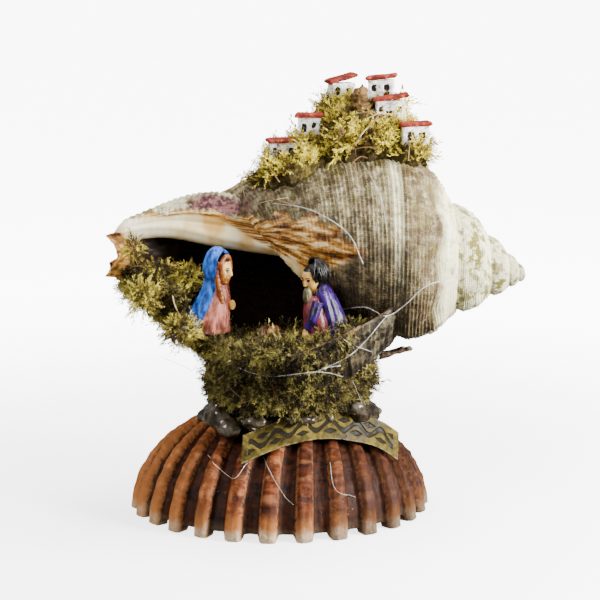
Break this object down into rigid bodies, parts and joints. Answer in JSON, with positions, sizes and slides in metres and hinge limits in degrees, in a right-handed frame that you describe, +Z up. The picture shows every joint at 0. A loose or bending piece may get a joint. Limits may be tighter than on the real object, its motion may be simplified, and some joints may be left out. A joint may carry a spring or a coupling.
{
  "type": "shell grotto ornament",
  "caption": "Spiral rock shell set on an upturned ribbed valve, with moss, painted figures in its mouth and a village of tiny houses on top.",
  "frame": {"origin": "middle of the overall box, on the surface that the valve's rim stands on", "axes": "+Z up, +X towards the spiral shell's apex, -Y out of the shell's mouth"},
  "size_m": [0.0834, 0.0576, 0.0884],
  "materials": {
    "spiral_shell": "grey-beige spiral cords with brown lines, chalky spire, smooth cream inner lip",
    "ribbed_valve": "dark red-brown ribs with a cream crenulated edge",
    "glue": "clear hardened glue over moss, glossy",
    "moss": "dried yellow-green and brown moss sprigs",
    "cork": "rough brown cork",
    "house_wall": "white painted plaster with small dark openings",
    "house_roof": "red-brown painted card",
    "painted_figure": "hand-painted plaster in blue, ochre, rose and violet, lightly varnished",
    "strip": "olive-gold paper, dark painted ornament",
    "twig": "dark dry stalk"
  },
  "bodies": {
    "root": {"spiral_shell": "spiral_shell", "ribbed_valve": "ribbed_valve", "glue_pad": "glue", "moss_neck": "moss", "moss_bed": "moss", "moss_hill": "moss", "cork_rock": "cork", "house_1_walls": "house_wall", "house_1_roof": "house_roof", "house_2_walls": "house_wall", "house_2_roof": "house_roof", "house_3_walls": "house_wall", "house_3_roof": "house_roof", "house_4_walls": "house_wall", "house_4_roof": "house_roof", "house_5_walls": "house_wall", "house_5_roof": "house_roof", "house_6_walls": "house_wall", "house_6_roof": "house_roof", "kneeling_woman": "painted_figure", "bearded_man": "painted_figure", "infant": "painted_figure", "name_strip": "strip", "twig": "twig"}
  },
  "joints": []
}
